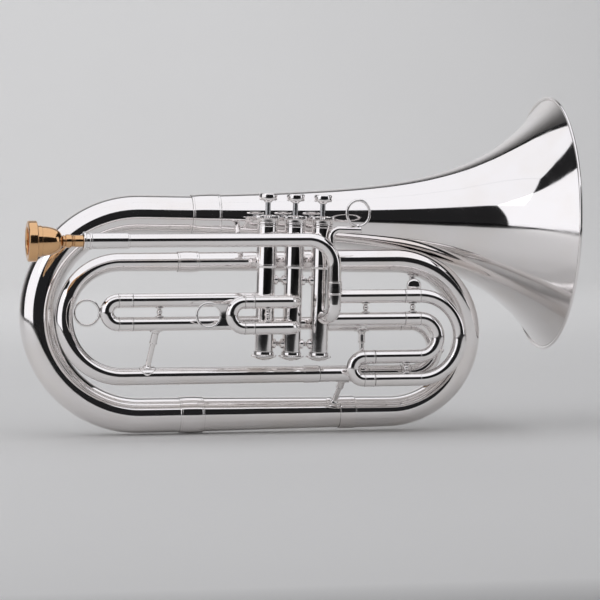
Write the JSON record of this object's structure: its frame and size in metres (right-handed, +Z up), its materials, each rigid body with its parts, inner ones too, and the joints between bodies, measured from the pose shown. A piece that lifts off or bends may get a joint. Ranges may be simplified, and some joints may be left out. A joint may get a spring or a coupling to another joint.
{
  "type": "marching baritone horn",
  "caption": "Bell-front marching baritone with piston valves, pull slides, water key and a removable cup mouthpiece.",
  "frame": {"origin": "on the middle valve's axis, half way up its casing, where the player's hand holds the valve cluster", "axes": "+X towards the bell mouth, +Y to the player's left, +Z up with the valve buttons on top"},
  "size_m": [0.5416, 0.2523, 0.3325],
  "materials": {
    "silver": "polished silver plate on brass",
    "gold": "polished gold plate on brass",
    "steel": "fine ground",
    "cork": "matt cork"
  },
  "bodies": {
    "horn": {"bell": "silver", "bell_ferrule": "silver", "left_bow": "silver", "bottom_branch": "silver", "right_bow": "silver", "inner_branch": "silver", "inner_ferrule": "silver", "inner_bow": "silver", "tuning_sleeve_upper": "silver", "tuning_sleeve_lower": "silver", "tuning_brace": "silver", "receiver": "silver", "leadpipe": "silver", "inlet_elbow": "silver", "casing_1": "silver", "casing_2": "silver", "casing_3": "silver", "top_cap_1": "silver", "top_cap_2": "silver", "top_cap_3": "silver", "bottom_cap_1": "silver", "bottom_cap_2": "silver", "bottom_cap_3": "silver", "spring_1": "steel", "spring_2": "steel", "spring_3": "steel", "first_sleeve_upper": "silver", "first_sleeve_lower": "silver", "first_brace": "silver", "first_stay": "silver", "second_sleeve_upper": "silver", "second_sleeve_lower": "silver", "third_sleeve_outer": "silver", "third_sleeve_inner": "silver", "third_sleeve_brace": "silver", "finger_ring": "silver", "bottom_stay": "silver", "leadpipe_stay": "silver", "water_key_nipple": "silver", "water_key_saddle": "silver", "water_key_pin": "steel", "lyre_socket": "silver"},
    "valve_1": {"piston_1": "steel", "button_1": "silver"},
    "valve_2": {"piston_2": "steel", "button_2": "silver"},
    "valve_3": {"piston_3": "steel", "button_3": "silver"},
    "first_slide": {"first_slide": "silver"},
    "second_slide": {"second_slide": "silver"},
    "third_slide": {"third_bow_outer": "silver", "third_bow_inner": "silver", "third_return_bow": "silver", "third_bow_brace": "silver", "third_return_brace": "silver"},
    "tuning_slide": {"tuning_slide": "silver"},
    "mouthpiece": {"mouthpiece": "gold"},
    "water_key": {"water_key_lever": "silver", "water_key_cork": "cork"},
    "lyre_screw": {"lyre_screw": "silver"}
  },
  "joints": [
    {"name": "press_valve_1", "type": "slide", "parent": "horn", "child": "valve_1", "axis": [-0.0314, 0, -0.9995], "range_m": [0, 0.012], "stiffness_N_per_m": 60, "springref_m": -0.03, "deforming": ["spring_1"]},
    {"name": "press_valve_2", "type": "slide", "parent": "horn", "child": "valve_2", "axis": [-0.0314, 0, -0.9995], "range_m": [0, 0.012], "stiffness_N_per_m": 60, "springref_m": -0.03, "deforming": ["spring_2"]},
    {"name": "press_valve_3", "type": "slide", "parent": "horn", "child": "valve_3", "axis": [-0.0314, 0, -0.9995], "range_m": [0, 0.012], "stiffness_N_per_m": 60, "springref_m": -0.03, "deforming": ["spring_3"]},
    {"name": "pull_first_slide", "type": "slide", "parent": "horn", "child": "first_slide", "axis": [-1, 0, 0], "range_m": [0, 0.08]},
    {"name": "pull_second_slide", "type": "slide", "parent": "horn", "child": "second_slide", "axis": [-1, 0, 0], "range_m": [0, 0.018]},
    {"name": "pull_third_slide", "type": "slide", "parent": "horn", "child": "third_slide", "axis": [1, 0, 0], "range_m": [0, 0.045]},
    {"name": "pull_tuning_slide", "type": "slide", "parent": "horn", "child": "tuning_slide", "axis": [1, 0, 0], "range_m": [0, 0.05]},
    {"name": "pull_mouthpiece", "type": "slide", "parent": "horn", "child": "mouthpiece", "axis": [-1, 0, 0], "range_m": [0, 0.03]},
    {"name": "open_water_key", "type": "hinge", "parent": "horn", "child": "water_key", "pos_m": [0.15343, 0.04839, -0.08425], "axis": [0, 0.9882, 0.153], "range_deg": [0, 12], "stiffness_Nm_per_rad": 0.02, "springref_deg": -34.38},
    {"name": "turn_lyre_screw", "type": "hinge", "parent": "horn", "child": "lyre_screw", "pos_m": [0.12778, 0.0317, 0.00049], "axis": [0, -1, 0], "range_deg": [-180, 180]}
  ]
}
